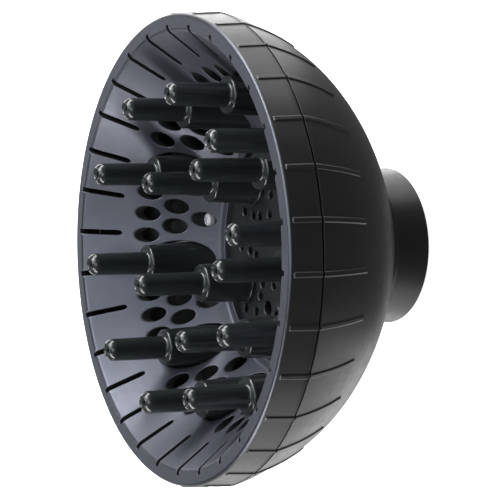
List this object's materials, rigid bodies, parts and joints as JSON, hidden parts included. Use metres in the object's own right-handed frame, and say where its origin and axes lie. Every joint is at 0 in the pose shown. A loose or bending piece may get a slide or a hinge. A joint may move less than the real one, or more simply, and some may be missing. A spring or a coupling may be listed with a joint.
{
  "type": "dryer diffuser",
  "caption": "Bowl-shaped hair dryer diffuser with a slotted, perforated funnel, hollow finger tubes on wide bosses and a round collar that pushes on the dryer nozzle.",
  "frame": {"origin": "centre of the collar's end face, on the axis of the bowl", "axes": "+Z along the axis, from the collar towards the mouth and the finger tips; an outer finger lies 5.35 degrees from +X towards +Y"},
  "size_m": [0.162, 0.1626, 0.0929],
  "materials": {
    "shell_plastic": "satin",
    "bowl_plastic": "satin",
    "finger_plastic": "semi-gloss",
    "grip_rubber": "matte",
    "screw_steel": "satin"
  },
  "bodies": {
    "root": {"rear_shell": "shell_plastic", "front_bowl": "bowl_plastic", "centre_grille": "finger_plastic", "outer_finger_01": "finger_plastic", "outer_finger_02": "finger_plastic", "outer_finger_03": "finger_plastic", "outer_finger_04": "finger_plastic", "outer_finger_05": "finger_plastic", "outer_finger_06": "finger_plastic", "outer_finger_07": "finger_plastic", "outer_finger_08": "finger_plastic", "outer_finger_09": "finger_plastic", "outer_finger_10": "finger_plastic", "inner_finger_01": "finger_plastic", "inner_finger_02": "finger_plastic", "inner_finger_03": "finger_plastic", "inner_finger_04": "finger_plastic", "inner_finger_05": "finger_plastic", "case_screw_01": "screw_steel", "case_screw_02": "screw_steel", "nozzle_grip": "grip_rubber"}
  },
  "joints": []
}
